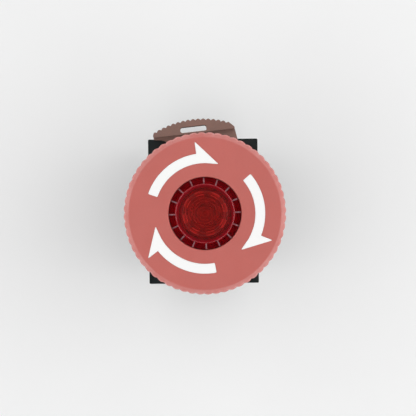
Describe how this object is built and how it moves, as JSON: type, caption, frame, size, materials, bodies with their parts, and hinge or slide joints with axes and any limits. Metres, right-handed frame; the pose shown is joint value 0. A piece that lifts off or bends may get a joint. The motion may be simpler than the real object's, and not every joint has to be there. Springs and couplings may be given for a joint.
{
  "type": "illuminated emergency stop button",
  "caption": "Illuminated panel emergency stop: red twist-to-release mushroom head, coupling flange with locking lever, and contact blocks behind it.",
  "frame": {"origin": "on the head's axis, in the plane of the blocks' rear faces", "axes": "+Z along the axis towards the head; +Y towards the locking lever's side; X across the row of blocks"},
  "size_m": [0.04, 0.045, 0.0826],
  "materials": {
    "head_red": "faded satin red plastic",
    "inlay_white": "white inlay",
    "lens_red": "clear dark red moulded lens",
    "frosted": "frosted diffuser",
    "acetal": "natural acetal",
    "black": "black glass-filled plastic",
    "lever_brown": "brown plastic",
    "rubber": "black rubber",
    "charcoal": "charcoal plastic",
    "plunger_red": "red plastic",
    "spring_steel": "spring wire",
    "zinc": "zinc-plated steel",
    "brass": "stamped brass",
    "board_green": "coated circuit board",
    "lamp_clear": "clear lamp dome"
  },
  "bodies": {
    "body": {"operator_housing": "black", "bezel_ring": "black", "panel_gasket": "rubber", "lip_seal": "rubber", "return_spring": "spring_steel", "latch_spring_left": "spring_steel", "latch_spring_right": "spring_steel", "flange_body": "black", "nc_left_housing": "charcoal", "nc_left_cover": "charcoal", "nc_left_strip_top": "brass", "nc_left_strip_bottom": "brass", "nc_left_clamp_top": "zinc", "nc_left_clamp_bottom": "zinc", "nc_left_screw_top": "zinc", "nc_left_screw_bottom": "zinc", "nc_left_return_spring": "spring_steel", "nc_right_housing": "charcoal", "nc_right_cover": "charcoal", "nc_right_strip_top": "brass", "nc_right_strip_bottom": "brass", "nc_right_clamp_top": "zinc", "nc_right_clamp_bottom": "zinc", "nc_right_screw_top": "zinc", "nc_right_screw_bottom": "zinc", "nc_right_return_spring": "spring_steel", "lamp_housing": "charcoal", "lamp_cover": "charcoal", "lamp_strip_top": "brass", "lamp_strip_bottom": "brass", "lamp_clamp_top": "zinc", "lamp_clamp_bottom": "zinc", "lamp_screw_top": "zinc", "lamp_screw_bottom": "zinc", "lamp_socket": "acetal", "lamp_led": "lamp_clear", "lamp_board": "board_green", "lamp_resistor": "acetal"},
    "lever": {"locking_lever": "lever_brown"},
    "push_stem": {"contact_actuator": "acetal"},
    "head": {"mushroom_head": "head_red", "arrow_inlay_1": "inlay_white", "arrow_inlay_2": "inlay_white", "arrow_inlay_3": "inlay_white", "lens": "lens_red", "cam_sleeve": "acetal", "diffuser": "frosted", "head_circlip": "spring_steel", "actuator_circlip": "spring_steel"},
    "latch_left": {"latch_pin_left": "zinc"},
    "latch_right": {"latch_pin_right": "zinc"},
    "plunger_left": {"nc_left_plunger": "plunger_red", "nc_left_bridge": "brass", "nc_left_contact_spring": "spring_steel"},
    "plunger_right": {"nc_right_plunger": "plunger_red", "nc_right_bridge": "brass", "nc_right_contact_spring": "spring_steel"}
  },
  "joints": [
    {"name": "push", "type": "slide", "parent": "body", "child": "push_stem", "axis": [0, 0, -1], "range_m": [0, 0.005], "stiffness_N_per_m": 1800, "springref_m": -0.008, "deforming": ["return_spring"]},
    {"name": "twist_release", "type": "hinge", "parent": "push_stem", "child": "head", "pos_m": [0, 0, 0.064], "axis": [0, 0, 1], "range_deg": [-45, 0], "stiffness_Nm_per_rad": 0.05, "springref_deg": 22.92},
    {"name": "lever_turn", "type": "hinge", "parent": "body", "child": "lever", "pos_m": [0, 0, 0.0383], "axis": [0, 0, 1], "range_deg": [-45, 0]},
    {"name": "latch_left_slide", "type": "slide", "parent": "body", "child": "latch_left", "axis": [1, 0, 0], "range_m": [0, 0.0011], "deforming": ["latch_spring_left"]},
    {"name": "latch_right_slide", "type": "slide", "parent": "body", "child": "latch_right", "axis": [-1, 0, 0], "range_m": [0, 0.0011], "deforming": ["latch_spring_right"]},
    {"name": "contact_left_slide", "type": "slide", "parent": "body", "child": "plunger_left", "axis": [0, 0, -1], "range_m": [0, 0.005], "deforming": ["nc_left_return_spring"]},
    {"name": "contact_right_slide", "type": "slide", "parent": "body", "child": "plunger_right", "axis": [0, 0, -1], "range_m": [0, 0.005], "deforming": ["nc_right_return_spring"]}
  ],
  "couplings": [
    {"joint": "latch_left_slide", "follows": "push", "ratio": 0.22},
    {"joint": "latch_right_slide", "follows": "push", "ratio": 0.22},
    {"joint": "contact_left_slide", "follows": "push", "ratio": 1},
    {"joint": "contact_right_slide", "follows": "push", "ratio": 1}
  ]
}
